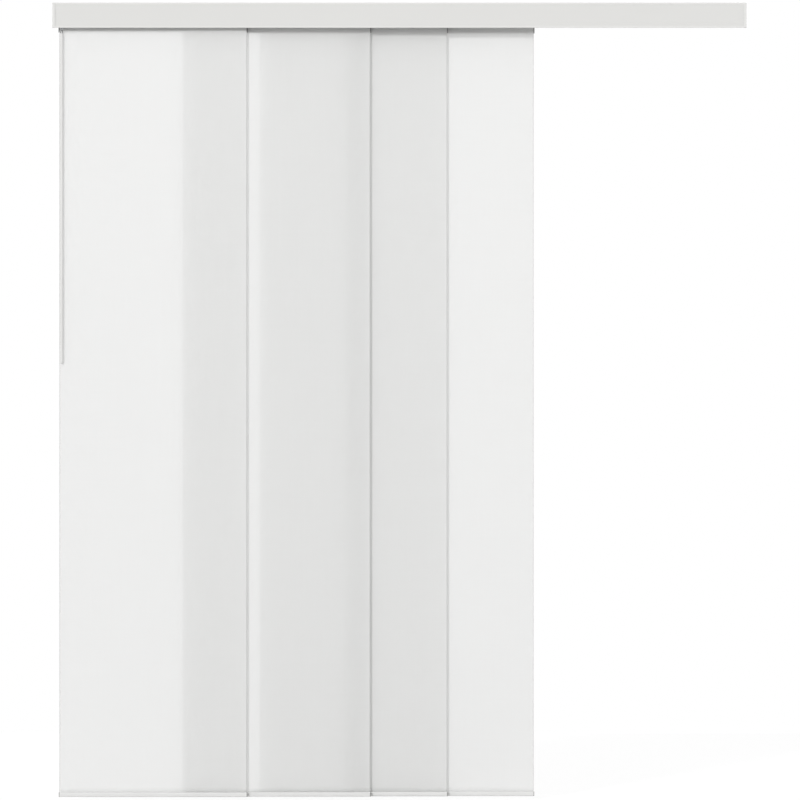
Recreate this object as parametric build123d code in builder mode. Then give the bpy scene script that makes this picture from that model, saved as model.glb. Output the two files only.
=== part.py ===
from build123d import *
import os

# Panel track blind: a headrail with side-by-side roller channels, and flat fabric panels
# that hang from carriers and pass in front of each other. Millimetres, +Z up. The origin is
# the middle of the ceiling plane over the headrail, X runs along it and the front faces -Y.

os.makedirs("parts", exist_ok=True)

# Overall sizes
overall_width = 2134.0
overall_drop = 2443.0
panel_width = 576.0
# Where the panels' middles stand at rest, from the left end of the headrail
panel_rest_offsets = (309.0, 688.5, 925.5, 1192.5)

# Track rail section
channel_pitch = 16.0
rail_wall = 1.5
roof_gauge = 1.6
roller_headroom = 2.85
lip_gauge = 2.0
slot_width = 5.0
guide_rib_gauge = 0.8
guide_rib_height = 1.2
clip_space = 7.4
flange_gauge = 1.6
flange_reach = 3.0
port_spacing = 32.0
port_radius = 1.65
port_wall = 1.4
port_mouth = 2.0
rail_corner = 0.8

# Mounting brackets
bracket_count = 4
bracket_end_inset = 167.0
bracket_gauge = 1.6
bracket_length = 28.0
bracket_bend = 1.0
bracket_clearance = 0.2
bracket_hook_reach = 2.6
bracket_catch_drop = 1.2
bracket_tab_drop = 6.0
mounting_hole_radius = 2.5
mounting_hole_spacing = 48.0

# Fascia
fascia_height = 77.0
fascia_gauge = 2.0
fascia_top_gap = 0.5
fascia_standoff = 15.0
fascia_return = 5.0
fascia_return_gauge = 1.6
border_height = 6.0
border_proud = 0.6
seat_drop = 6.0
seat_height = 15.0
seat_depth = 1.9
seat_lip = 2.6
seat_lip_gauge = 1.3

# Fascia clips
clip_count = 5
clip_end_inset = 107.0
clip_length = 24.0
clip_gauge = 1.5
clip_clearance = 0.15
clip_grip = 2.4
clip_top_gap = 0.3

# End caps and their screws
cap_gauge = 3.0
cap_margin = 0.8
cap_wrap_length = 5.0
cap_wrap_gauge = 1.0
cap_clearance = 0.1
cap_skirt_depth = 7.5
cap_sweep_radius = 12.0
cap_corner = 1.5
cap_tongue_length = 10.0
buffer_length = 24.0
buffer_clearance = 0.2
screw_radius = 1.5
screw_length = 14.0
screw_hole_gap = 0.15
screw_head_radius = 2.9
screw_head_height = 1.8
screw_sink = 2.0
screw_recess_depth = 0.9
screw_recess_width = 0.7
screw_recess_length = 3.2

# Rollers, axle pins and trucks
roller_diameter = 10.0
roller_lift = 0.15
roller_side_gap = 0.3
roller_round = 0.6
roller_dish = 0.5
roller_rim = 1.4
roller_hub = 1.2
axle_radius = 1.0
axle_running_gap = 0.05
axle_seat_gap = 0.02
pin_wall_gap = 0.25
pin_head_gauge = 0.4
pin_head_radius = 1.9
pin_head_gap = 0.1
truck_length = 18.0
truck_side_gap = 0.3
truck_crown = 3.4
truck_shoulder = 3.0
truck_stem_length = 13.0
truck_stem_round = 1.2
truck_foot_length = 16.0
truck_foot_gauge = 2.6
truck_foot_gap = 0.4
truck_boss_radius = 2.2
truck_boss_gap = 0.15
truck_inset = 24.0

# Carriers and their end caps
hanger_gap = 10.0
carrier_height = 55.0
carrier_overhang = 1.0
carrier_gap = 4.0
carrier_wall = 1.4
carrier_lip_gauge = 1.6
carrier_slot_height = 4.0
carrier_floor_gauge = 1.6
carrier_round = 0.6
carrier_web_gauge = 2.4
carrier_web_front = 1.4
carrier_bulb_radius = 2.6
carrier_bulb_bore = 1.4
tape_rib_proud = 0.8
tape_rib_height = 1.2
tape_rib_gap = 0.2
carrier_cap_gauge = 2.0
carrier_cap_margin = 0.4
carrier_cap_plug = 8.0
carrier_cap_fit = 0.2
carrier_cap_round = 0.5

# Tapes and fabric
tape_height = 25.0
tape_top_gap = 3.8
tape_end_gap = 1.0
hook_tape_gauge = 1.2
loop_tape_gauge = 1.2
fabric_gauge = 0.6
fabric_top_gap = 1.8
hem_gauge = 2.2
hem_height = 3.6

# Bottom rails and their end caps
bottom_rail_height = 14.0
bottom_rail_depth = 9.0
bottom_rail_round = 3.0
bottom_rail_wall = 1.3
bottom_rail_fit = 0.2
bottom_rail_neck = 2.0
bottom_cap_gauge = 2.2
bottom_cap_plug = 8.0
bottom_cap_round = 0.6

# Wand, its strap and its hook
wand_diameter = 9.0
wand_wall = 1.2
wand_length = 1032.5
wand_inset = 8.0
wand_panel_gap = 3.6
wand_collar = 6.0
wand_collar_round = 1.0
wand_spigot = 14.0
wand_spigot_fit = 0.1
wand_eye_gauge = 3.0
wand_eye_radius = 3.2
wand_eye_drop = 5.0
strap_gauge = 1.5
strap_width = 7.0
strap_bend = 1.0
strap_clearance = 0.1
strap_leg = 1.2
strap_slope_drop = 8.0
strap_eye_drop = 1.0
wire_radius = 0.9
wire_bend = 1.4
wire_running_gap = 0.06
hook_half_width = 3.15
hook_height = 7.0
hook_tip = 2.5

# Levels, from the ceiling down
flange_top = -bracket_gauge
flange_bottom = flange_top - flange_gauge
roof_top = flange_top - clip_space
channel_top = roof_top - roof_gauge
channel_height = roller_diameter + roller_lift + roller_headroom
lip_top = channel_top - channel_height
rail_bottom = lip_top - lip_gauge
axle_z = lip_top + roller_lift + roller_diameter / 2
fascia_top = -fascia_top_gap
fascia_bottom = fascia_top - fascia_height
fascia_middle = (fascia_top + fascia_bottom) / 2
seat_top = fascia_top - seat_drop
seat_middle = seat_top - seat_height / 2
carrier_top = rail_bottom - hanger_gap
carrier_lip_bottom = carrier_top - carrier_lip_gauge
carrier_slot_floor = carrier_lip_bottom - carrier_slot_height
carrier_head_bottom = carrier_slot_floor - carrier_floor_gauge
carrier_bulb_z = carrier_top - carrier_height + carrier_bulb_radius
tape_top = carrier_head_bottom - tape_top_gap
tape_middle = tape_top - tape_height / 2
fabric_top = carrier_head_bottom - fabric_top_gap
bottom_rail_top = -overall_drop + bottom_rail_height
pocket_top = bottom_rail_top - bottom_rail_neck
pocket_height = hem_height + 2 * bottom_rail_fit
fabric_bottom = pocket_top - bottom_rail_fit - hem_height

# Lengths and depths
panel_count = len(panel_rest_offsets)
panel_rest_x = [offset - overall_width / 2 for offset in panel_rest_offsets]
channel_y = [(k - (panel_count - 1) / 2) * channel_pitch for k in range(panel_count)]
channel_width = channel_pitch - rail_wall
rail_depth = panel_count * channel_pitch + rail_wall
rail_end = overall_width / 2 - cap_gauge
flange_edge = rail_depth / 2 + flange_reach
port_z = roof_top + port_radius + port_wall / 2
fascia_back = -rail_depth / 2 - fascia_standoff
fascia_front = fascia_back - fascia_gauge
truck_gauge = slot_width - 2 * truck_side_gap
roller_inner = slot_width / 2 + guide_rib_gauge + roller_side_gap
pin_half = channel_width / 2 - pin_wall_gap
roller_outer = pin_half - pin_head_gauge - pin_head_gap
carrier_depth = channel_pitch - carrier_gap
carrier_slot_depth = carrier_depth - 2 * carrier_wall
carrier_length = panel_width + 2 * carrier_overhang
web_middle = carrier_web_gauge / 2 - carrier_web_front
hook_tape_y = -carrier_web_front - hook_tape_gauge / 2
loop_tape_y = hook_tape_y - (hook_tape_gauge + loop_tape_gauge) / 2
fabric_y = loop_tape_y - (loop_tape_gauge + fabric_gauge) / 2

# The wand hangs in front of the lead panel, at its left end
wand_radius = wand_diameter / 2
wand_x = panel_rest_x[0] - carrier_length / 2 + wand_inset
wand_depth = fabric_y - fabric_gauge / 2 - wand_panel_gap - wand_radius
wand_y = channel_y[0] + wand_depth
strap_eye_z = fascia_bottom - strap_eye_drop
wand_eye_z = strap_eye_z - 2 * hook_height
collar_top = wand_eye_z - wand_eye_drop
rod_top = collar_top - wand_collar
rod_bottom = fascia_bottom - wand_length


def across(x, y):
    """An upright plane across the headrail: local x is depth from y, local y is height."""
    return Plane(origin=(x, y, 0), x_dir=(0, 1, 0), z_dir=(1, 0, 0))


def lengthwise(x, y, z):
    """An upright plane along the headrail: local x is length from x, local y is height from z."""
    return Plane(origin=(x, y, z), x_dir=(1, 0, 0), z_dir=(0, -1, 0))


def truck_positions(x):
    """Where the two trucks of a panel centred at x sit, left then right."""
    reach = carrier_length / 2 - truck_inset
    return (x - reach, x + reach)


def save(piece, name):
    """Names a finished piece and writes it to its own file."""
    piece.part.label = name
    export_step(piece.part, f"parts/{name}.step")


# Track rail: one extrusion with a row of channels open below, guide ribs that keep the
# rollers centred, clip flanges along both top edges and two screw ports on the roof
def track_rail_section():
    with Locations((0, (roof_top + rail_bottom) / 2)):
        body = Rectangle(rail_depth, roof_top - rail_bottom)
    fillet(body.vertices().group_by(Axis.Y)[0], radius=rail_corner)
    with Locations((0, lip_top + channel_height / 2)):
        with GridLocations(channel_pitch, 0, panel_count, 1):
            Rectangle(channel_width, channel_height, mode=Mode.SUBTRACT)
    with Locations((0, lip_top - lip_gauge / 2)):
        with GridLocations(channel_pitch, 0, panel_count, 1):
            Rectangle(slot_width, lip_gauge, mode=Mode.SUBTRACT)
    rib_offset = (slot_width + guide_rib_gauge) / 2
    with Locations((-rib_offset, lip_top + guide_rib_height / 2), (rib_offset, lip_top + guide_rib_height / 2)):
        with GridLocations(channel_pitch, 0, panel_count, 1):
            Rectangle(guide_rib_gauge, guide_rib_height)
    wall_offset = rail_depth - rail_wall
    with Locations((0, (flange_top + roof_top) / 2)):
        with GridLocations(wall_offset, 0, 2, 1):
            Rectangle(rail_wall, flange_top - roof_top)
    flange_offset = 2 * flange_edge - flange_reach
    with Locations((0, flange_top - flange_gauge / 2)):
        with GridLocations(flange_offset, 0, 2, 1):
            Rectangle(flange_reach, flange_gauge)
    with Locations((0, port_z)):
        with GridLocations(port_spacing, 0, 2, 1):
            Circle(port_radius + port_wall)
        with GridLocations(port_spacing, 0, 2, 1):
            Circle(port_radius, mode=Mode.SUBTRACT)
    with Locations((0, port_z + (port_radius + port_wall) / 2)):
        with GridLocations(port_spacing, 0, 2, 1):
            Rectangle(port_mouth, port_radius + port_wall, mode=Mode.SUBTRACT)


with BuildPart() as track_rail:
    with BuildSketch(Plane.YZ):
        track_rail_section()
    extrude(amount=rail_end, both=True)
save(track_rail, "track_rail")


# Mounting brackets: bent spring steel clips that snap over the rail's flanges, with a plain
# hook in front and a V catch with a thumb tab behind
def mounting_bracket(x):
    half = bracket_gauge / 2
    leg_y = flange_edge + bracket_clearance + half
    lip_z = flange_bottom - bracket_clearance - half
    tip_y = leg_y - bracket_hook_reach
    with BuildPart() as bracket:
        with BuildSketch(across(x, 0)):
            with BuildLine():
                FilletPolyline(
                    (-tip_y, lip_z),
                    (-leg_y, lip_z),
                    (-leg_y, -half),
                    (leg_y, -half),
                    (leg_y, lip_z + half / 2),
                    (tip_y, lip_z + half / 2 - bracket_catch_drop),
                    (leg_y + half, lip_z - half - bracket_tab_drop),
                    radius=bracket_bend,
                )
            trace(line_width=bracket_gauge)
        extrude(amount=bracket_length / 2, both=True)
        with Locations((x, 0, 0)):
            with GridLocations(0, mounting_hole_spacing, 1, 2):
                Hole(mounting_hole_radius, depth=bracket_gauge)
    return bracket


bracket_spacing = (overall_width - 2 * bracket_end_inset) / (bracket_count - 1)
for k in range(bracket_count):
    bracket_x = (k - (bracket_count - 1) / 2) * bracket_spacing
    save(mounting_bracket(bracket_x), f"mounting_bracket_{k + 1}")


# Fascia: a moulded strip with a raised border, stiffening returns and a clip seat behind
def fascia_section():
    with Locations(((fascia_front + fascia_back) / 2, fascia_middle)):
        Rectangle(fascia_gauge, fascia_height)
    border_depth = border_proud + fascia_gauge / 2
    border_y = fascia_front - border_proud + border_depth / 2
    with Locations((border_y, fascia_middle)):
        with GridLocations(0, fascia_height - border_height, 1, 2):
            RectangleRounded(border_depth, border_height, border_proud)
    with Locations((fascia_back + fascia_return / 2, fascia_middle)):
        with GridLocations(0, fascia_height - fascia_return_gauge, 1, 2):
            Rectangle(fascia_return, fascia_return_gauge)
    shelf_depth = seat_depth + seat_lip_gauge
    with Locations((fascia_back + shelf_depth / 2, seat_middle)):
        with GridLocations(0, seat_height + seat_lip_gauge, 1, 2):
            Rectangle(shelf_depth, seat_lip_gauge)
    with Locations((fascia_back + seat_depth + seat_lip_gauge / 2, seat_middle)):
        with GridLocations(0, seat_height - seat_lip, 1, 2):
            Rectangle(seat_lip_gauge, seat_lip)


with BuildPart() as fascia:
    with BuildSketch(Plane.YZ):
        fascia_section()
    extrude(amount=rail_end, both=True)
save(fascia, "fascia")


# Fascia clips: a foot held in the fascia's seat, an arm, and two jaws over the rail's flange
with BuildPart() as fascia_clips:
    foot_y = fascia_back + seat_depth - clip_clearance - clip_gauge / 2
    arm_back = -flange_edge - clip_clearance
    arm_front = arm_back - clip_gauge
    upper_jaw = flange_top + clip_clearance
    lower_jaw = flange_bottom - clip_clearance
    jaw_tip = -flange_edge + clip_grip
    neck_top = seat_top - seat_lip - clip_clearance
    clip_spacing = (overall_width - 2 * clip_end_inset) / (clip_count - 1)
    for k in range(clip_count):
        with BuildSketch(across((k - (clip_count - 1) / 2) * clip_spacing, 0)):
            with Locations((foot_y, seat_middle)):
                Rectangle(clip_gauge, seat_height - 2 * clip_clearance)
            with BuildLine():
                Polyline(
                    (foot_y, neck_top),
                    (arm_front, neck_top),
                    (arm_front, -clip_top_gap),
                    (jaw_tip, -clip_top_gap),
                    (jaw_tip, upper_jaw),
                    (arm_back, upper_jaw),
                    (arm_back, lower_jaw),
                    (jaw_tip, lower_jaw),
                    (jaw_tip, lower_jaw - clip_gauge),
                    (arm_back, lower_jaw - clip_gauge),
                    (arm_back, neck_top - clip_gauge),
                    (foot_y, neck_top - clip_gauge),
                    close=True,
                )
            make_face()
    extrude(amount=clip_length / 2, both=True)
save(fascia_clips, "fascia_clips")


# End caps: an L-shaped moulded plate with a wrap over the fascia's end, a tongue in the
# fascia's seat, one buffer plug in each roller channel and two sunk screw holes
def port_circles(radius):
    with Locations((0, port_z)):
        with GridLocations(port_spacing, 0, 2, 1):
            Circle(radius)


def end_cap(side):
    inner_face = across(side * rail_end, 0)
    front = fascia_front - border_proud - cap_clearance - cap_wrap_gauge
    back = flange_edge + cap_margin
    skirt_back = fascia_back + cap_skirt_depth
    rear_bottom = rail_bottom - cap_margin
    sweep_start = (skirt_back, rear_bottom - cap_sweep_radius)
    sweep_end = (skirt_back + cap_sweep_radius, rear_bottom)
    plug_top = channel_top - buffer_clearance
    plug_bottom = lip_top + guide_rib_height + buffer_clearance
    with BuildPart() as cap:
        with BuildSketch(inner_face):
            with BuildLine():
                RadiusArc(sweep_start, sweep_end, cap_sweep_radius)
                Polyline(
                    sweep_end,
                    (back, rear_bottom),
                    (back, fascia_top),
                    (front, fascia_top),
                    (front, fascia_bottom),
                    (skirt_back, fascia_bottom),
                    sweep_start,
                )
            outline = make_face()
            corners = outline.vertices().group_by(Axis.X)
            fillet(corners[0] + corners[-1], radius=cap_corner)
        extrude(amount=side * cap_gauge)
        with BuildSketch(inner_face):
            with Locations((front + cap_wrap_gauge / 2, fascia_middle)):
                Rectangle(cap_wrap_gauge, fascia_height - 2 * cap_corner)
        extrude(amount=-side * cap_wrap_length)
        with BuildSketch(inner_face):
            with Locations((fascia_back + seat_depth / 2, seat_middle)):
                Rectangle(seat_depth - 2 * cap_clearance, seat_height - 2 * cap_clearance)
        extrude(amount=-side * cap_tongue_length)
        with BuildSketch(inner_face):
            with Locations((0, (plug_top + plug_bottom) / 2)):
                with GridLocations(channel_pitch, 0, panel_count, 1):
                    Rectangle(channel_width - 2 * buffer_clearance, plug_top - plug_bottom)
        extrude(amount=-side * buffer_length)
        with BuildSketch(inner_face):
            port_circles(screw_radius + screw_hole_gap)
        extrude(amount=side * cap_gauge, mode=Mode.SUBTRACT)
        with BuildSketch(inner_face.offset(side * (cap_gauge - screw_sink))):
            port_circles(screw_head_radius + screw_hole_gap)
        extrude(amount=side * screw_sink, mode=Mode.SUBTRACT)
    return cap


save(end_cap(-1), "end_cap_left")
save(end_cap(1), "end_cap_right")


# End cap screws: pan heads sunk in the caps, shanks in the rail's screw ports
with BuildPart() as end_cap_screws:
    for side in (-1, 1):
        seat = across(side * (rail_end + cap_gauge - screw_sink), 0)
        with BuildSketch(seat):
            port_circles(screw_head_radius)
        extrude(amount=side * screw_head_height)
        with BuildSketch(seat):
            port_circles(screw_radius)
        extrude(amount=-side * screw_length)
        with BuildSketch(seat.offset(side * (screw_head_height - screw_recess_depth))):
            with Locations((0, port_z)):
                with GridLocations(port_spacing, 0, 2, 1):
                    Rectangle(screw_recess_length, screw_recess_width)
                with GridLocations(port_spacing, 0, 2, 1):
                    Rectangle(screw_recess_width, screw_recess_length)
        extrude(amount=side * screw_recess_depth, mode=Mode.SUBTRACT)
save(end_cap_screws, "end_cap_screws")


# Roller trucks: a moulded block between two rollers, with a stem through the rail's slot down
# to a foot held in the carrier's top channel
def roller_trucks(x, y):
    body_bottom = lip_top + guide_rib_height
    crown = axle_z + truck_crown
    with BuildPart() as trucks:
        for truck_x in truck_positions(x):
            with BuildSketch(lengthwise(truck_x, y, 0)):
                with Locations((0, (crown + body_bottom) / 2)):
                    body = Rectangle(truck_length, crown - body_bottom)
                fillet(body.vertices().group_by(Axis.Y)[-1], radius=truck_shoulder)
                with Locations((0, (body_bottom + carrier_lip_bottom) / 2)):
                    Rectangle(truck_stem_length, body_bottom - carrier_lip_bottom)
            extrude(amount=truck_gauge / 2, both=True)
            with Locations((truck_x, y, carrier_lip_bottom - truck_foot_gauge / 2)):
                Box(truck_foot_length, carrier_slot_depth - 2 * truck_foot_gap, truck_foot_gauge)
            with BuildSketch(lengthwise(truck_x, y, axle_z)):
                Circle(truck_boss_radius)
            extrude(amount=roller_inner - truck_boss_gap, both=True)
            with BuildSketch(lengthwise(truck_x, y, axle_z)):
                Circle(axle_radius + axle_seat_gap)
            extrude(amount=roller_inner, both=True, mode=Mode.SUBTRACT)
        upright = trucks.edges().filter_by(Axis.Z).filter_by(lambda edge: edge.center().Z < lip_top)
        stem_edges = [edge for edge in upright if edge.center().Z > carrier_lip_bottom]
        fillet(stem_edges, radius=truck_stem_round)
    return trucks


# Axle pins: steel pins with a flat head at each end
def axle_pins(x, y):
    with BuildPart() as pins:
        for truck_x in truck_positions(x):
            with BuildSketch(lengthwise(truck_x, y, axle_z)):
                Circle(axle_radius)
            extrude(amount=pin_half, both=True)
            for side in (-1, 1):
                head_y = y + side * (pin_half - pin_head_gauge / 2)
                with BuildSketch(lengthwise(truck_x, head_y, axle_z)):
                    Circle(pin_head_radius)
                extrude(amount=pin_head_gauge / 2, both=True)
    return pins


# Rollers: moulded wheels with rounded treads, dished faces and a hub round the pin
def rollers(truck_x, y):
    width = roller_outer - roller_inner
    radius = roller_diameter / 2
    bore = axle_radius + axle_running_gap
    dish_inner = bore + roller_hub
    dish_outer = radius - roller_rim
    with BuildPart() as pair:
        for side in (-1, 1):
            middle = y + side * (roller_inner + roller_outer) / 2
            with BuildSketch(Plane(origin=(truck_x, middle, axle_z), x_dir=(0, 1, 0), z_dir=(1, 0, 0))):
                with Locations((0, (bore + radius) / 2)):
                    tread = Rectangle(width, radius - bore)
                fillet(tread.vertices().group_by(Axis.Y)[-1], radius=roller_round)
                with Locations((0, (dish_inner + dish_outer) / 2)):
                    with GridLocations(width, 0, 2, 1):
                        Rectangle(2 * roller_dish, dish_outer - dish_inner, mode=Mode.SUBTRACT)
            revolve(axis=Axis((truck_x, middle, axle_z), (0, 1, 0)))
    return pair


# Carriers: an extruded bar with a channel for the truck feet, a web that takes the hook tape
# between two locating ribs, and a bored bulb along the lower edge
def carrier(x, y):
    with BuildPart() as bar:
        with BuildSketch(across(x, y)):
            with Locations((0, (carrier_top + carrier_head_bottom) / 2)):
                RectangleRounded(carrier_depth, carrier_top - carrier_head_bottom, carrier_round)
            with Locations((0, (carrier_lip_bottom + carrier_slot_floor) / 2)):
                Rectangle(carrier_slot_depth, carrier_slot_height, mode=Mode.SUBTRACT)
            with Locations((0, (carrier_top + carrier_lip_bottom) / 2)):
                Rectangle(slot_width, carrier_lip_gauge, mode=Mode.SUBTRACT)
            with Locations((web_middle, (carrier_head_bottom + carrier_bulb_z) / 2)):
                Rectangle(carrier_web_gauge, carrier_head_bottom - carrier_bulb_z)
            with Locations((-carrier_web_front - tape_rib_proud / 2, tape_middle)):
                with GridLocations(0, tape_height + 2 * tape_rib_gap + tape_rib_height, 1, 2):
                    Rectangle(tape_rib_proud, tape_rib_height)
            with Locations((web_middle, carrier_bulb_z)):
                Circle(carrier_bulb_radius)
                Circle(carrier_bulb_bore, mode=Mode.SUBTRACT)
        extrude(amount=carrier_length / 2, both=True)
    return bar


def carrier_end_caps(x, y):
    head_depth = carrier_depth + 2 * carrier_cap_margin
    head_top = carrier_top + carrier_cap_margin
    head_bottom = carrier_head_bottom - carrier_cap_margin
    tail_radius = carrier_bulb_radius + carrier_cap_margin
    with BuildPart() as caps:
        for side in (-1, 1):
            end = across(x + side * carrier_length / 2, y)
            with BuildSketch(end):
                with Locations((0, (head_top + head_bottom) / 2)):
                    RectangleRounded(head_depth, head_top - head_bottom, 2 * carrier_round)
                with Locations((web_middle, (head_bottom + carrier_bulb_z) / 2)):
                    Rectangle(2 * tail_radius, head_bottom - carrier_bulb_z)
                with Locations((web_middle, carrier_bulb_z)):
                    Circle(tail_radius)
            extrude(amount=side * carrier_cap_gauge)
            with BuildSketch(end):
                with Locations((0, (carrier_lip_bottom + carrier_slot_floor) / 2)):
                    Rectangle(
                        carrier_slot_depth - 2 * carrier_cap_fit,
                        carrier_slot_height - 2 * carrier_cap_fit,
                    )
                with Locations((web_middle, carrier_bulb_z)):
                    Circle(carrier_bulb_bore - carrier_cap_fit)
            extrude(amount=-side * carrier_cap_plug)
        outer_faces = caps.faces().sort_by(Axis.X)
        fillet(outer_faces[0].edges() + outer_faces[-1].edges(), radius=carrier_cap_round)
    return caps


# Hook tape stuck to the carrier's web, and loop tape sewn along the fabric's top edge
def tape(x, y, gauge):
    with BuildPart() as strip:
        with Locations((x, y, tape_middle)):
            Box(panel_width - 2 * tape_end_gap, gauge, tape_height)
    return strip


# Fabric panels: one flat sheet, with a thick welded hem held in the bottom rail's pocket
def fabric_panel(x, y):
    with BuildPart() as sheet:
        with BuildSketch(across(x, y + fabric_y)):
            with Locations((0, (fabric_top + fabric_bottom) / 2)):
                Rectangle(fabric_gauge, fabric_top - fabric_bottom)
            with Locations((0, fabric_bottom + hem_height / 2)):
                Rectangle(hem_gauge, hem_height)
        extrude(amount=panel_width / 2, both=True)
    return sheet


# Bottom rails: a rounded extrusion with a necked pocket for the hem and a hollow chamber
chamber_top = pocket_top - pocket_height - bottom_rail_wall
chamber_bottom = -overall_drop + bottom_rail_wall
chamber_height = chamber_top - chamber_bottom
chamber_depth = bottom_rail_depth - 2 * bottom_rail_wall
chamber_middle = (chamber_top + chamber_bottom) / 2


def bottom_rail(x, y):
    with BuildPart() as rail:
        with BuildSketch(across(x, y + fabric_y)):
            with Locations((0, bottom_rail_top - bottom_rail_height / 2)):
                RectangleRounded(bottom_rail_depth, bottom_rail_height, bottom_rail_round)
            with Locations((0, bottom_rail_top - bottom_rail_neck / 2)):
                Rectangle(fabric_gauge + 2 * bottom_rail_fit, bottom_rail_neck, mode=Mode.SUBTRACT)
            with Locations((0, pocket_top - pocket_height / 2)):
                Rectangle(hem_gauge + 2 * bottom_rail_fit, pocket_height, mode=Mode.SUBTRACT)
            with Locations((0, chamber_middle)):
                RectangleRounded(
                    chamber_depth, chamber_height, bottom_rail_round - bottom_rail_wall, mode=Mode.SUBTRACT
                )
        extrude(amount=panel_width / 2, both=True)
    return rail


def bottom_rail_caps(x, y):
    plug_round = bottom_rail_round - bottom_rail_wall - bottom_rail_fit
    with BuildPart() as caps:
        for side in (-1, 1):
            end = across(x + side * panel_width / 2, y + fabric_y)
            with BuildSketch(end):
                with Locations((0, bottom_rail_top - bottom_rail_height / 2)):
                    RectangleRounded(bottom_rail_depth, bottom_rail_height, bottom_rail_round)
            extrude(amount=side * bottom_cap_gauge)
            with BuildSketch(end):
                with Locations((0, chamber_middle)):
                    RectangleRounded(
                        chamber_depth - 2 * bottom_rail_fit, chamber_height - 2 * bottom_rail_fit, plug_round
                    )
            extrude(amount=-side * bottom_cap_plug)
        outer_faces = caps.faces().sort_by(Axis.X)
        fillet(outer_faces[0].edges() + outer_faces[-1].edges(), radius=bottom_cap_round)
    return caps


# One set of hanging pieces for each panel, numbered from the front channel back
for k in range(panel_count):
    x, y, number = panel_rest_x[k], channel_y[k], k + 1
    left_truck, right_truck = truck_positions(x)
    save(roller_trucks(x, y), f"roller_trucks_{number}")
    save(axle_pins(x, y), f"axle_pins_{number}")
    save(rollers(left_truck, y), f"rollers_{number}_left")
    save(rollers(right_truck, y), f"rollers_{number}_right")
    save(carrier(x, y), f"carrier_{number}")
    save(carrier_end_caps(x, y), f"carrier_end_caps_{number}")
    save(tape(x, y + hook_tape_y, hook_tape_gauge), f"hook_tape_{number}")
    save(tape(x, y + loop_tape_y, loop_tape_gauge), f"loop_tape_{number}")
    save(fabric_panel(x, y), f"fabric_panel_{number}")
    save(bottom_rail(x, y), f"bottom_rail_{number}")
    save(bottom_rail_caps(x, y), f"bottom_rail_caps_{number}")

# Wand strap: hooks over the front lip of the lead carrier and hangs down to an eye in front
with BuildPart() as wand_strap:
    half_gauge = strap_gauge / 2
    leg_y = strap_clearance + half_gauge - slot_width / 2
    over_z = carrier_top + strap_clearance + half_gauge
    face_y = -carrier_depth / 2 - strap_clearance - half_gauge
    slope_z = carrier_head_bottom - strap_clearance
    with BuildSketch(across(wand_x, channel_y[0])):
        with BuildLine():
            FilletPolyline(
                (leg_y, carrier_top - strap_leg),
                (leg_y, over_z),
                (face_y, over_z),
                (face_y, slope_z),
                (wand_depth, slope_z - strap_slope_drop),
                (wand_depth, strap_eye_z),
                radius=strap_bend,
            )
        trace(line_width=strap_gauge)
    extrude(amount=strap_width / 2, both=True)
    with BuildSketch(lengthwise(wand_x, wand_y, strap_eye_z)):
        Circle(strap_width / 2)
    extrude(amount=half_gauge, both=True)
    with BuildSketch(lengthwise(wand_x, wand_y, strap_eye_z)):
        Circle(wire_radius + wire_running_gap)
    extrude(amount=strap_gauge, both=True, mode=Mode.SUBTRACT)
save(wand_strap, "wand_strap")

# Wand hook: one bent wire with two open loops a quarter turn apart
with BuildPart() as wand_hook:
    loop_bottom = strap_eye_z - hook_height
    with BuildLine() as wire_path:
        FilletPolyline(
            (wand_x, wand_y - hook_half_width, strap_eye_z - hook_tip),
            (wand_x, wand_y - hook_half_width, strap_eye_z),
            (wand_x, wand_y + hook_half_width, strap_eye_z),
            (wand_x, wand_y + hook_half_width, loop_bottom),
            (wand_x, wand_y, loop_bottom),
            (wand_x + hook_half_width, wand_y, loop_bottom),
            (wand_x + hook_half_width, wand_y, wand_eye_z),
            (wand_x - hook_half_width, wand_y, wand_eye_z),
            (wand_x - hook_half_width, wand_y, wand_eye_z + hook_tip),
            radius=wire_bend,
        )
    with BuildSketch(Plane(origin=wire_path.line @ 0, z_dir=wire_path.line % 0)):
        Circle(wire_radius)
    sweep()
save(wand_hook, "wand_hook")

# Wand cap: a flat eye on a collar, with a spigot inside the rod
with BuildPart() as wand_cap:
    with BuildSketch(across(wand_x, wand_y)):
        with Locations((0, wand_eye_z)):
            Circle(wand_eye_radius)
        with Locations((0, (wand_eye_z + collar_top) / 2)):
            Rectangle(2 * wand_eye_radius, wand_eye_z - collar_top)
        with Locations((0, wand_eye_z)):
            Circle(wire_radius + wire_running_gap, mode=Mode.SUBTRACT)
    extrude(amount=wand_eye_gauge / 2, both=True)
    with BuildSketch(Plane.XY.offset(rod_top)):
        with Locations((wand_x, wand_y)):
            Circle(wand_radius)
    extrude(amount=wand_collar)
    fillet(wand_cap.edges().filter_by(GeomType.CIRCLE).group_by(Axis.Z)[-2], radius=wand_collar_round)
    with BuildSketch(Plane.XY.offset(rod_top)):
        with Locations((wand_x, wand_y)):
            Circle(wand_radius - wand_wall - wand_spigot_fit)
    extrude(amount=-wand_spigot)
save(wand_cap, "wand_cap")

# Wand rod: a plain round tube
with BuildPart() as wand_rod:
    with BuildSketch(Plane.XY.offset(rod_top)):
        with Locations((wand_x, wand_y)):
            Circle(wand_radius)
            Circle(wand_radius - wand_wall, mode=Mode.SUBTRACT)
    extrude(amount=rod_bottom + wand_radius - rod_top)
save(wand_rod, "wand_rod")

# Wand tip: a domed plug in the rod's lower end
with BuildPart() as wand_tip:
    tip_top = rod_bottom + wand_radius
    with Locations((wand_x, wand_y, tip_top)):
        Sphere(wand_radius, arc_size2=0, align=(Align.CENTER, Align.CENTER, Align.MAX))
    with BuildSketch(Plane.XY.offset(tip_top)):
        with Locations((wand_x, wand_y)):
            Circle(wand_radius - wand_wall - wand_spigot_fit)
    extrude(amount=wand_spigot)
save(wand_tip, "wand_tip")
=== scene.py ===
import math
import random

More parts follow.
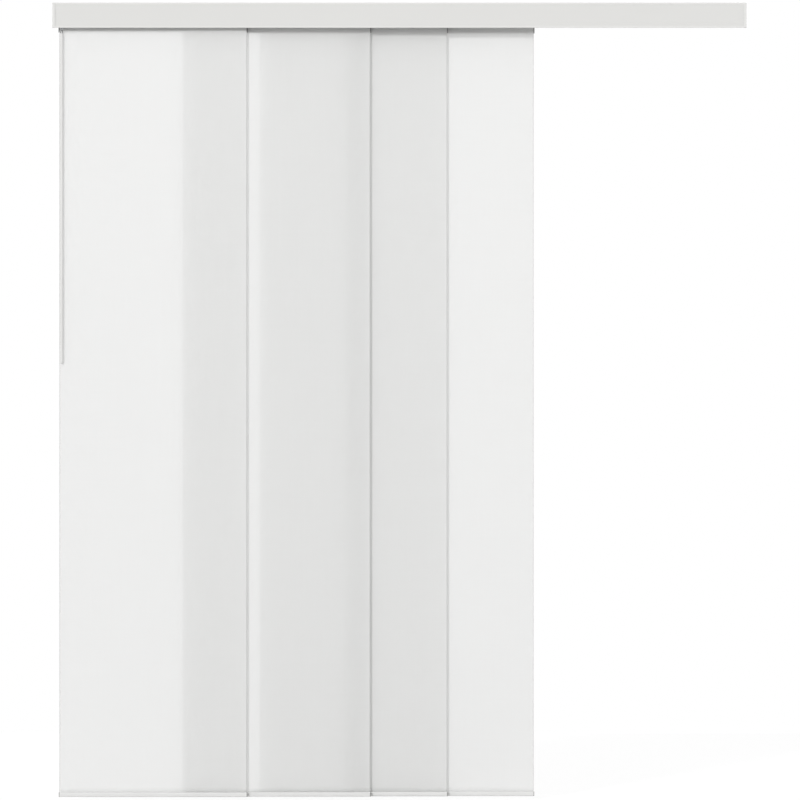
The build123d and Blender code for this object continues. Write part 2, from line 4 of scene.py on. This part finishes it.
import bmesh
import bpy
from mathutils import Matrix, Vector


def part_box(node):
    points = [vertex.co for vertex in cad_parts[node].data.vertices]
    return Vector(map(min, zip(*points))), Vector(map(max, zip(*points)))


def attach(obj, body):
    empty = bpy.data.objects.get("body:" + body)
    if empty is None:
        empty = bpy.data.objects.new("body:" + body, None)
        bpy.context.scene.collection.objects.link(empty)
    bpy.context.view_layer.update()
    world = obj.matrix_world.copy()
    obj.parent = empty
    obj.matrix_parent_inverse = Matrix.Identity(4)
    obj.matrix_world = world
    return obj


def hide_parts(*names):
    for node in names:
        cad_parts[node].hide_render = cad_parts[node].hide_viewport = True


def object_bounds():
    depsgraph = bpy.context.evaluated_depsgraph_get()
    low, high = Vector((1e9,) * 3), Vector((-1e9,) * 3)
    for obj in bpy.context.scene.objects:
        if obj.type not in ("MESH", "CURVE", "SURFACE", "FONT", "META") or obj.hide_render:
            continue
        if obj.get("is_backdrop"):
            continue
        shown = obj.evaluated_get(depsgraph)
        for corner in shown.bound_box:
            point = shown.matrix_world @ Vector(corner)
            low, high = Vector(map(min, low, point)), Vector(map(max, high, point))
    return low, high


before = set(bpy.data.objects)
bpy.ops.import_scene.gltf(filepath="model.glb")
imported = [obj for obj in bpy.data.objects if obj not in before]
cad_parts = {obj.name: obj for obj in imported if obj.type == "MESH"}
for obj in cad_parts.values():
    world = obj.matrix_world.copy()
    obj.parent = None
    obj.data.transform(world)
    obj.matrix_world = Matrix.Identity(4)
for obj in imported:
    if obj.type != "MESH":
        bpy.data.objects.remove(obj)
cad_low, cad_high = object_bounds()

# Track rail: one long aluminium extrusion with a row of roller channels, open below. It leaves
# the press with fine lines along its length, is cut to width and gets a white powder coat.


class Wire:
    """A socket in a material's nodes. Arithmetic on it adds Math nodes."""

    def __init__(self, tree, socket=None):
        self.tree = tree
        self.socket = socket

    def node(self, kind, settings=None, inputs=None, out=0):
        """Adds a node, makes its settings first, then fills or links its inputs."""
        made = self.tree.nodes.new("ShaderNode" + kind)
        for name, value in (settings or {}).items():
            setattr(made, name, value)
        for name, value in (inputs or {}).items():
            if isinstance(value, Wire):
                self.tree.links.new(value.socket, made.inputs[name])
            else:
                made.inputs[name].default_value = value
        return Wire(self.tree, made.outputs[out] if len(made.outputs) else None)

    def math(self, operation, *terms):
        return self.node("Math", {"operation": operation}, dict(enumerate(terms)))

    def __add__(self, other):
        return self.math("ADD", self, other)

    def __radd__(self, other):
        return self.math("ADD", other, self)

    def __sub__(self, other):
        return self.math("SUBTRACT", self, other)

    def __rsub__(self, other):
        return self.math("SUBTRACT", other, self)

    def __mul__(self, other):
        return self.math("MULTIPLY", self, other)

    def __rmul__(self, other):
        return self.math("MULTIPLY", other, self)

    def __gt__(self, other):
        return self.math("GREATER_THAN", self, other)


def new_finish(name):
    """An empty material and the wire that its nodes grow from."""
    material = bpy.data.materials.new(name)
    material.use_nodes = True
    material.node_tree.nodes.clear()
    return material, Wire(material.node_tree)


def point(wire, stretch=(1.0, 1.0, 1.0)):
    """The shaded point in metres in the blind's own frame, times stretch."""
    here = wire.node("TexCoord", out="Object")
    return wire.node("VectorMath", {"operation": "MULTIPLY"}, {0: here, 1: stretch})


def lumps(wire, per_metre, detail=2.0):
    """Soft noise from 0 to 1, with so many lumps a metre along X, Y and Z."""
    where = point(wire, per_metre)
    return wire.node("TexNoise", inputs={"Vector": where, "Scale": 1.0, "Detail": detail})


def tint(wire, amount, dark, light):
    """A colour from dark at amount 0 to light at amount 1."""
    return wire.node("Mix", {"data_type": "RGBA"},
                     {0: amount, 6: (*dark, 1.0), 7: (*light, 1.0)}, out=2)


def relief(wire, height, depth):
    """The surface normal for a height whose full range is depth metres."""
    return wire.node("Bump", inputs={"Height": height, "Distance": depth})


def finish_with(wire, surface):
    """Ends the material in a surface."""
    wire.node("OutputMaterial", inputs={"Surface": surface})


def opaque(wire, inputs):
    """Ends the material in one opaque surface."""
    finish_with(wire, wire.node("BsdfPrincipled", inputs=inputs))


def dress(material, *names):
    """Puts a finish on nodes of the frame."""
    for name in names:
        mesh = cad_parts[name].data
        mesh.materials.clear()
        mesh.materials.append(material)


coat, wire = new_finish("white_powder_coat")
draw_lines = lumps(wire, (3.0, 2600.0, 2600.0))
orange_peel = lumps(wire, (700.0, 700.0, 700.0))
dust = lumps(wire, (9.0, 30.0, 30.0), detail=4.0)
opaque(wire, {
    "Base Color": tint(wire, dust, dark=(0.685, 0.685, 0.676), light=(0.750, 0.750, 0.741)),
    "Roughness": 0.34 + 0.12 * dust,
    "Normal": relief(wire, draw_lines * 0.5 + orange_peel * 0.5, depth=0.000008),
})
dress(coat, "track_rail")

# Mounting brackets: spring steel strip, stamped, bent and zinc plated. Each is screwed to the
# ceiling, and the rail is snapped up into its hook and its sprung catch.

BRACKETS = (1, 2, 3, 4)

zinc, wire = new_finish("zinc_plated_steel")
spangle = lumps(wire, (420.0, 420.0, 420.0), detail=4.0)
roll_marks = lumps(wire, (60.0, 3000.0, 3000.0))
opaque(wire, {
    "Base Color": tint(wire, spangle, dark=(0.50, 0.51, 0.53), light=(0.70, 0.71, 0.73)),
    "Metallic": 1.0,
    "Roughness": 0.26 + 0.22 * spangle,
    "Normal": relief(wire, roll_marks, depth=0.00002),
})
for k in BRACKETS:
    dress(zinc, f"mounting_bracket_{k}")

# Fascia: a moulded white plastic strip that hides the rail. Its face has a fine grain, and the
# raised border along its top and bottom is smoother and a shade lighter.

FASCIA_BORDER = 0.006

fascia, wire = new_finish("fascia_plastic")
fascia_low, fascia_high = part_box("fascia")
fascia_middle = (fascia_low.z + fascia_high.z) / 2
face_half = (fascia_high.z - fascia_low.z) / 2 - FASCIA_BORDER
height = wire.node("SeparateXYZ", inputs={"Vector": point(wire)}, out="Z")
on_border = wire.math("ABSOLUTE", height - fascia_middle) > face_half
grain = lumps(wire, (1100.0, 1100.0, 1100.0), detail=3.0)
cloudy = lumps(wire, (3.0, 8.0, 8.0))
paleness = on_border * 0.6 + cloudy * 0.4
opaque(wire, {
    "Base Color": tint(wire, paleness, dark=(0.602, 0.600, 0.586), light=(0.657, 0.655, 0.641)),
    "Roughness": 0.50 - 0.14 * on_border + 0.06 * cloudy,
    "Normal": relief(wire, grain * (1.0 - 0.7 * on_border), depth=0.00004),
})
dress(fascia, "fascia")

# Fascia clips: short lengths of moulded plastic. The foot slides into the seat behind the
# fascia, and the jaws snap over the rail's front flange.

moulded, wire = new_finish("moulded_white_plastic")
flow = lumps(wire, (60.0, 60.0, 60.0))
sparkle = lumps(wire, (1600.0, 1600.0, 1600.0))
opaque(wire, {
    "Base Color": tint(wire, flow, dark=(0.625, 0.624, 0.611), light=(0.680, 0.679, 0.666)),
    "Roughness": 0.38 + 0.14 * flow,
    "Normal": relief(wire, sparkle, depth=0.00002),
})
dress(moulded, "fascia_clips")

# End caps: moulded in the same white plastic as the clips. Each closes the rail and the
# fascia, and its buffers reach into the channels, where the roller trucks stop against them.

dress(moulded, "end_cap_left", "end_cap_right")

# End cap screws: zinc plated steel with pan heads, sunk in the caps and driven into the
# rail's screw ports.

dress(zinc, "end_cap_screws")

# Roller trucks, rollers and axle pins: the trucks and rollers are moulded in a slippery
# off-white plastic that takes a dull polish where it rubs. The pins are turned from steel,
# with a flat head at each end. The panels are numbered from the front channel back.

PANELS = (1, 2, 3, 4)

nylon, wire = new_finish("slippery_plastic")
rubbed = lumps(wire, (240.0, 240.0, 240.0), detail=3.0)
opaque(wire, {
    "Base Color": tint(wire, rubbed, dark=(0.715, 0.705, 0.665), light=(0.800, 0.795, 0.765)),
    "Roughness": 0.26 + 0.20 * rubbed,
    "Normal": relief(wire, rubbed, depth=0.00004),
})

turned, wire = new_finish("turned_steel")
tool_marks = lumps(wire, (900.0, 4200.0, 900.0))
opaque(wire, {
    "Base Color": tint(wire, tool_marks, dark=(0.56, 0.56, 0.57), light=(0.70, 0.70, 0.71)),
    "Metallic": 1.0,
    "Roughness": 0.18 + 0.14 * tool_marks,
    "Normal": relief(wire, tool_marks, depth=0.00001),
})

for k in PANELS:
    dress(nylon, f"roller_trucks_{k}", f"rollers_{k}_left", f"rollers_{k}_right")
    dress(turned, f"axle_pins_{k}")

# Carriers and their end caps: white coated aluminium bars that hang on the trucks' feet.
# Moulded caps are pushed into both ends. Their dark grey is painted shade, for the fascia's
# shadow on the carriers' ends.

carrier_cap_shade, wire = new_finish("carrier_cap_painted_shade")
scuffs = lumps(wire, (180.0, 180.0, 180.0), detail=4.0)
opaque(wire, {
    "Base Color": tint(wire, scuffs, dark=(0.085, 0.085, 0.088), light=(0.125, 0.125, 0.128)),
    "Roughness": 0.36 + 0.20 * scuffs,
    "Normal": relief(wire, scuffs, depth=0.00004),
})

for k in PANELS:
    dress(coat, f"carrier_{k}")
    dress(carrier_cap_shade, f"carrier_end_caps_{k}")

# Hook tapes: a woven nylon ribbon with a field of small stiff hooks, stuck along the front of
# each carrier's web. Its faces and long edges are a little uneven.


def new_object(name, data):
    """A new object in the scene that holds a mesh, a lamp or a camera."""
    made = bpy.data.objects.new(name, data)
    bpy.context.scene.collection.objects.link(made)
    return made


def add_piece(name, mesh, material, body):
    """A finished mesh as a named piece that rides on one of the blind's bodies."""
    bmesh.ops.recalc_face_normals(mesh, faces=mesh.faces[:])
    data = bpy.data.meshes.new(name)
    mesh.to_mesh(data)
    mesh.free()
    data.materials.append(material)
    piece = new_object(name, data)
    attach(piece, body)
    return piece


def double_sheet(columns, rows, front, back):
    """A closed sheet on a grid of columns and rows. front and back give each side's Y."""
    mesh = bmesh.new()
    sides = []
    for depth in (front, back):
        sides.append([[mesh.verts.new((x, depth(x, z), z)) for x in columns] for z in rows])
    near, far = sides
    for j in range(len(rows) - 1):
        for i in range(len(columns) - 1):
            mesh.faces.new((near[j][i], near[j][i + 1], near[j + 1][i + 1], near[j + 1][i]))
            mesh.faces.new((far[j][i], far[j + 1][i], far[j + 1][i + 1], far[j][i + 1]))
    for i in range(len(columns) - 1):
        mesh.faces.new((near[0][i + 1], near[0][i], far[0][i], far[0][i + 1]))
        mesh.faces.new((near[-1][i], near[-1][i + 1], far[-1][i + 1], far[-1][i]))
    for j in range(len(rows) - 1):
        mesh.faces.new((near[j][0], near[j + 1][0], far[j + 1][0], far[j][0]))
        mesh.faces.new((near[j + 1][-1], near[j][-1], far[j][-1], far[j + 1][-1]))
    return mesh


def spread(low, high, count):
    """Evenly spaced values from low to high, with count gaps between them."""
    return [low + (high - low) * i / count for i in range(count + 1)]


TAPE_COLUMNS = 190
TAPE_ROWS = 8
TAPE_INSET = 0.0001
TAPE_FUZZ = 0.00015

hooks, wire = new_finish("hook_tape")
hook_rows = lumps(wire, (520.0, 520.0, 900.0), detail=1.0)
opaque(wire, {
    "Base Color": tint(wire, hook_rows, dark=(0.60, 0.60, 0.58), light=(0.80, 0.80, 0.78)),
    "Roughness": 0.45 + 0.2 * hook_rows,
    "Normal": relief(wire, hook_rows, depth=0.0005),
})


def tape_piece(kind, k, material):
    """One tape in the space of its node, with its faces and long edges roughened a little."""
    low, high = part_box(f"{kind}_{k}")
    rng = random.Random(f"{kind} {k}")
    columns = spread(low.x, high.x, TAPE_COLUMNS)
    rows = spread(low.z, high.z, TAPE_ROWS)
    mesh = double_sheet(columns, rows,
                        lambda x, z: low.y + TAPE_INSET + rng.random() * TAPE_FUZZ,
                        lambda x, z: high.y - TAPE_INSET - rng.random() * TAPE_FUZZ)
    for vertex in mesh.verts:
        if vertex.co.z in (rows[0], rows[-1]):
            inward = 1 if vertex.co.z == rows[0] else -1
            vertex.co.z += inward * rng.random() * 2 * TAPE_FUZZ
    piece = add_piece(f"{kind}_ribbon_{k}", mesh, material, f"panel_{k}")
    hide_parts(f"{kind}_{k}")
    return piece, (high.x - low.x, high.z - low.z)


for k in PANELS:
    piece, size = tape_piece("hook_tape", k, hooks)

# Loop tapes: the soft half of the fastening, a brushed ribbon of fine loops. It is sewn across
# the back of the fabric's top edge and pressed onto the hooks.

loops, wire = new_finish("loop_tape")
pile = lumps(wire, (1300.0, 1300.0, 1300.0), detail=4.0)
brushed = lumps(wire, (90.0, 300.0, 300.0))
nap = pile * 0.7 + brushed * 0.3
opaque(wire, {
    "Base Color": tint(wire, nap, dark=(0.62, 0.62, 0.60), light=(0.82, 0.82, 0.80)),
    "Roughness": 0.92,
    "Sheen Weight": 0.3,
    "Normal": relief(wire, pile, depth=0.0004),
})

for k in PANELS:
    piece, size = tape_piece("loop_tape", k, loops)

# Fabric panels: one flat sheet each, woven from white polyester, open enough that the edge of
# a panel behind it shows. A hot knife seals its side edges, the loop tape is sewn across its
# head, and its foot is folded and welded. The bottom rail's weight keeps it straight.

# The cloth. Open is its share of holes, and glow the share of light that the threads pass on
WHITE = (1.0, 1.0, 1.0, 1.0)
FABRIC_GAUGE = 0.0006
FABRIC_OPEN = 0.30
FABRIC_GLOW = 0.42
FABRIC_GLOW_COLOUR = (0.864, 0.865, 0.860)

fabric, wire = new_finish("woven_panel_fabric")
warp = lumps(wire, (1500.0, 400.0, 26.0), detail=1.0)
weft = lumps(wire, (26.0, 400.0, 1500.0), detail=1.0)
slubs_across = lumps(wire, (5.0, 40.0, 330.0))
slubs_down = lumps(wire, (330.0, 40.0, 4.0))
weave = wire.math("MAXIMUM", warp, weft)
slubs = slubs_across * 0.5 + slubs_down * 0.5
thread_tone = weave * 0.35 + slubs * 0.65
cloth_face = wire.node("BsdfPrincipled", inputs={
    "Base Color": tint(wire, thread_tone, dark=(0.826, 0.827, 0.822), light=(0.899, 0.900, 0.896)),
    "Roughness": 0.88,
    "Sheen Weight": 0.12,
    "Normal": relief(wire, weave * 0.8 + slubs * 0.2, depth=0.00012),
})
light_through = wire.node("BsdfTranslucent", inputs={"Color": (*FABRIC_GLOW_COLOUR, 1.0)})
threads = wire.node("MixShader", inputs={0: FABRIC_GLOW, 1: cloth_face, 2: light_through})
between = wire.node("BsdfTransparent", inputs={"Color": WHITE})
finish_with(wire, wire.node("MixShader", inputs={0: FABRIC_OPEN, 1: threads, 2: between}))

# How the sheet hangs, and the grid of faces that it is made of
WAVE_COUNT = 4
WAVE_TURNS_ACROSS = (1.2, 3.4)
WAVE_TURNS_DOWN = (0.3, 1.2)
WAVE_DEPTH = 0.0007
SLACK_RISE = 0.6
CURL_DEPTH = 0.0006
CURL_REACH = 0.018
EDGE_COLUMNS = (0.0, 0.002, 0.005, 0.010, 0.018, 0.030)
MIDDLE_COLUMNS = 24
MIDDLE_INSET = 0.046
FABRIC_ROWS = 110


def hang(k, low, high):
    """How the fabric hangs: straight at head and foot, with a faint wave and curled edges."""
    rng = random.Random(f"panel {k}")
    middle = (low.y + high.y) / 2
    waves = [(rng.uniform(*WAVE_TURNS_ACROSS), rng.uniform(*WAVE_TURNS_DOWN),
              rng.uniform(0, math.tau)) for _ in range(WAVE_COUNT)]
    left_curl, right_curl = rng.uniform(-1, 1), rng.uniform(-1, 1)

    def depth(x, z):
        across, up = (x - low.x) / (high.x - low.x), (z - low.z) / (high.z - low.z)
        slack = math.sin(math.pi * up) ** SLACK_RISE
        wave = sum(math.sin(math.tau * (a * across + b * up) + c) for a, b, c in waves)
        left = math.exp(-(x - low.x) / CURL_REACH) * left_curl
        right = math.exp(-(high.x - x) / CURL_REACH) * right_curl
        return middle + slack * (WAVE_DEPTH * wave / WAVE_COUNT + CURL_DEPTH * (left + right))

    return depth


def hanging_sheet(low, high, depth):
    """The sheet itself, with narrow columns of faces near its side edges."""
    columns = [low.x + reach for reach in EDGE_COLUMNS]
    columns += spread(low.x + MIDDLE_INSET, high.x - MIDDLE_INSET, MIDDLE_COLUMNS)
    columns += [high.x - reach for reach in reversed(EDGE_COLUMNS)]
    rows = spread(low.z, high.z, FABRIC_ROWS)
    half = FABRIC_GAUGE / 2
    return double_sheet(columns, rows,
                        lambda x, z: depth(x, z) - half,
                        lambda x, z: depth(x, z) + half)


# The bead of melted thread that the hot knife leaves. Its dark grey is painted shade, for the thin
# shadow line along each side edge
SEAL_WIDTH = 0.0009
SQUARE = ((-1, -1), (1, -1), (1, 1), (-1, 1))

edge_bead_shade, wire = new_finish("fabric_edge_painted_shade")
melted = lumps(wire, (900.0, 900.0, 500.0), detail=3.0)
opaque(wire, {
    "Base Color": tint(wire, melted, dark=(0.40, 0.40, 0.395), light=(0.50, 0.50, 0.495)),
    "Roughness": 0.42 + 0.2 * melted,
    "Normal": relief(wire, melted, depth=0.0001),
})


def skin(mesh, rings):
    """Joins each ring of corners to the next with faces, and closes both ends."""
    sides = len(rings[0])
    for one, two in zip(rings, rings[1:]):
        for turn in range(sides):
            after = (turn + 1) % sides
            mesh.faces.new((one[turn], two[turn], two[after], one[after]))
    mesh.faces.new(rings[0])
    mesh.faces.new(reversed(rings[-1]))


def sealed_edges(low, high, bottom, depth):
    """The narrow bead along both side edges, down to the bottom rail."""
    mesh = bmesh.new()
    half = SEAL_WIDTH / 2
    for middle in (low.x + half, high.x - half):
        rings = []
        for z in spread(bottom, high.z, FABRIC_ROWS):
            y = depth(middle, z)
            rings.append([mesh.verts.new((middle + half * a, y + half * b, z)) for a, b in SQUARE])
        skin(mesh, rings)
    return mesh


# The stitches. The taper gives shares of a stitch's length and its girth there
STITCH_LENGTH = 0.0030
STITCH_PITCH = 0.0041
STITCH_RADIUS = 0.00022
STITCH_STAND = 0.00008
STITCH_SIDES = 5
STITCH_TAPER = ((0.0, 0.35), (0.25, 1.0), (0.75, 1.0), (1.0, 0.35))
SEAM_DROPS = (0.0035, 0.0215)
SEAM_MARGIN = 0.002

thread, wire = new_finish("sewing_thread")
twist = lumps(wire, (2400.0, 900.0, 900.0))
opaque(wire, {
    "Base Color": tint(wire, twist, dark=(0.66, 0.66, 0.65), light=(0.84, 0.84, 0.83)),
    "Roughness": 0.6,
    "Normal": relief(wire, twist, depth=0.0001),
})


def stitching(low, high, tape_top):
    """Two rows of short lockstitches on the front of the fabric, along the loop tape."""
    mesh = bmesh.new()
    middle_y = (low.y + high.y) / 2 - FABRIC_GAUGE / 2 - STITCH_STAND
    count = int((high.x - low.x - 2 * SEAM_MARGIN) / STITCH_PITCH)
    angles = [math.tau * turn / STITCH_SIDES for turn in range(STITCH_SIDES)]
    for drop in SEAM_DROPS:
        for i in range(count):
            start = low.x + SEAM_MARGIN + i * STITCH_PITCH
            rings = []
            for along, girth in STITCH_TAPER:
                radius = STITCH_RADIUS * girth
                rings.append([mesh.verts.new((
                    start + along * STITCH_LENGTH,
                    middle_y + radius * math.cos(angle),
                    tape_top - drop + radius * math.sin(angle),
                )) for angle in angles])
            skin(mesh, rings)
    return mesh


# The hem. Its outline gives half thicknesses from the middle and shares of the height
HEM_THICKNESS = 0.0022
HEM_HEIGHT = 0.0036
HEM_LENGTHS = 12
HEM_OUTLINE = ((-0.5, 0.0), (0.5, 0.0), (1.0, 0.2), (1.0, 0.8),
               (0.5, 1.0), (-0.5, 1.0), (-1.0, 0.8), (-1.0, 0.2))


def welded_hem(low, high):
    """The thick folded and welded lower edge, inside the bottom rail's pocket."""
    mesh = bmesh.new()
    middle = (low.y + high.y) / 2
    half = HEM_THICKNESS / 2
    rings = [[mesh.verts.new((x, middle + half * out, low.z + HEM_HEIGHT * up))
              for out, up in HEM_OUTLINE]
             for x in spread(low.x, high.x, HEM_LENGTHS)]
    skin(mesh, rings)
    return mesh


for k in PANELS:
    body = f"panel_{k}"
    low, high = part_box(f"fabric_panel_{k}")
    tape_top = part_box(f"loop_tape_{k}")[1].z
    rail_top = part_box(f"bottom_rail_{k}")[1].z
    depth = hang(k, low, high)

    sheet_mesh = hanging_sheet(low, high, depth)
    sheet = add_piece(f"fabric_sheet_{k}", sheet_mesh, fabric, body)
    sheet.data.shade_smooth()
    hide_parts(f"fabric_panel_{k}")

    seam = add_piece(f"tape_stitching_{k}", stitching(low, high, tape_top), thread, body)
    hem = add_piece(f"fabric_hem_{k}", welded_hem(low, high), fabric, body)
    bead_mesh = sealed_edges(low, high, rail_top, depth)
    bead = add_piece(f"fabric_edges_{k}", bead_mesh, edge_bead_shade, body)

# Bottom rails and their end caps: a white coated aluminium extrusion pushed along the fabric's
# hem to weigh it down. Moulded caps close its ends; their mid grey is painted shade, for the
# shadow in the gaps between the panels.

rail_cap_shade, wire = new_finish("rail_cap_painted_shade")
flow = lumps(wire, (150.0, 150.0, 150.0), detail=3.0)
opaque(wire, {
    "Base Color": tint(wire, flow, dark=(0.26, 0.26, 0.25), light=(0.33, 0.33, 0.32)),
    "Roughness": 0.38 + 0.16 * flow,
    "Normal": relief(wire, flow, depth=0.00004),
})

rail_coat, wire = new_finish("off_white_powder_coat")
die_lines = lumps(wire, (3.0, 2200.0, 2200.0))
marks = lumps(wire, (12.0, 60.0, 60.0), detail=4.0)
opaque(wire, {
    "Base Color": tint(wire, marks, dark=(0.63, 0.63, 0.622), light=(0.70, 0.70, 0.692)),
    "Roughness": 0.36 + 0.14 * marks,
    "Normal": relief(wire, die_lines, depth=0.000008),
})

for k in PANELS:
    dress(rail_coat, f"bottom_rail_{k}")
    dress(rail_cap_shade, f"bottom_rail_caps_{k}")

# Wand strap and wand hook: the strap is zinc plated steel strip bent over the lead carrier's
# front lip. The hook is spring wire with two open loops, so that the wand swings freely. Its
# near black is painted shade, for the fascia's shadow on it.

dress(zinc, "wand_strap")

hook_wire_shade, wire = new_finish("hook_wire_painted_shade")
drawn = lumps(wire, (1400.0, 1400.0, 300.0), detail=3.0)
opaque(wire, {
    "Base Color": tint(wire, drawn, dark=(0.09, 0.09, 0.095), light=(0.20, 0.20, 0.205)),
    "Metallic": 1.0,
    "Roughness": 0.28 + 0.2 * drawn,
    "Normal": relief(wire, drawn, depth=0.00001),
})
dress(hook_wire_shade, "wand_hook")

# Wand: a light grey extruded tube with a moulded eye in its top end and a domed plug in its
# foot. Handling has left its gloss a little uneven.

tube, wire = new_finish("wand_plastic")
handled = lumps(wire, (120.0, 120.0, 14.0), detail=3.0)
fine_lines = lumps(wire, (1900.0, 1900.0, 6.0))
opaque(wire, {
    "Base Color": tint(wire, handled, dark=(0.60, 0.60, 0.59), light=(0.69, 0.69, 0.68)),
    "Roughness": 0.18 + 0.14 * handled,
    "Coat Weight": 0.25,
    "Normal": relief(wire, fine_lines, depth=0.00001),
})
dress(tube, "wand_cap", "wand_rod", "wand_tip")

# Floor: a plain pale sheet just clear of the bottom rails. It looks near white, also in gloss
# and through clear surfaces, and still keeps a faint part of the blind's shadow.

FLOOR_GAP = 0.012
FLOOR_HALF = 4.0
FLOOR_GREY = 0.66
FLOOR_SHINE = 1.19
FLOOR_SHINE_SHARE = 0.62


def looked_at(wire):
    """1 for rays from the camera, off gloss or through a clear surface, and 0 for the rest."""
    camera, gloss, clear = [wire.node("LightPath", out=f"Is {kind} Ray")
                            for kind in ("Camera", "Glossy", "Transmission")]
    return wire.math("MAXIMUM", wire.math("MAXIMUM", camera, gloss), clear)


ground, wire = new_finish("pale_floor")
shine_share = looked_at(wire) * FLOOR_SHINE_SHARE
matt = wire.node("BsdfDiffuse", inputs={"Color": (FLOOR_GREY, FLOOR_GREY, FLOOR_GREY, 1.0)})
shine = wire.node("Emission", inputs={"Color": WHITE, "Strength": FLOOR_SHINE})
finish_with(wire, wire.node("MixShader", inputs={0: shine_share, 1: matt, 2: shine}))

plane = bmesh.new()
floor_z = cad_low.z - FLOOR_GAP
plane.faces.new([plane.verts.new((x * FLOOR_HALF, y * FLOOR_HALF, floor_z)) for x, y in SQUARE])
floor_mesh = bpy.data.meshes.new("floor")
plane.to_mesh(floor_mesh)
plane.free()
floor_mesh.materials.append(ground)
new_object("floor", floor_mesh)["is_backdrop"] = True

# Light: soft white light from all round, stronger behind the blind, so that the panels glow a
# little. One broad lamp stands in front, to the left and a little above.

FRONT_LIGHT = 0.82
BACK_LIGHT = 1.18
LIGHT_TURN = 0.35
LAMP_STRENGTH = 1.37
LAMP_SPREAD = math.radians(7.0)
LAMP_DIRECTION = Vector((0.400, 1.0, -0.380))

world = bpy.data.worlds.new("studio")
world.use_nodes = True
world.node_tree.nodes.clear()
wire = Wire(world.node_tree)
heading = wire.node("SeparateXYZ", inputs={"Vector": wire.node("TexCoord", out="Generated")}, out="Y")
behind = wire.node("MapRange", {"interpolation_type": "SMOOTHSTEP"},
                   {"Value": heading, "From Min": -LIGHT_TURN, "From Max": LIGHT_TURN})
level = FRONT_LIGHT + behind * (BACK_LIGHT - FRONT_LIGHT)
strength = level + looked_at(wire) * (1.0 - level)
sky = wire.node("Background", inputs={"Color": WHITE, "Strength": strength})
wire.node("OutputWorld", inputs={"Surface": sky})
bpy.context.scene.world = world

lamp_data = bpy.data.lights.new("lamp", "SUN")
lamp_data.energy = LAMP_STRENGTH
lamp_data.angle = LAMP_SPREAD
lamp = new_object("lamp", lamp_data)
lamp.rotation_mode = "QUATERNION"
lamp.rotation_quaternion = LAMP_DIRECTION.to_track_quat("-Z", "Y")

# Camera: far off and square on, as in the photograph. The view's centre and width are what
# the photograph takes in on the plane of the fascia's face.

VIEW_CENTRE = (0.0017, -1.2217)
VIEW_WIDTH = 2.4588
VIEW_DISTANCE = 20.0
SENSOR_WIDTH = 36.0

eye_data = bpy.data.cameras.new("eye")
eye_data.sensor_width = SENSOR_WIDTH
eye_data.lens = SENSOR_WIDTH * (VIEW_DISTANCE + fascia_low.y) / VIEW_WIDTH
eye = new_object("eye", eye_data)
eye.location = (VIEW_CENTRE[0], -VIEW_DISTANCE, VIEW_CENTRE[1])
eye.rotation_euler = (math.pi / 2, 0.0, 0.0)
bpy.context.scene.camera = eye
bpy.context.scene.view_settings.view_transform = "Standard"

low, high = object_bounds()
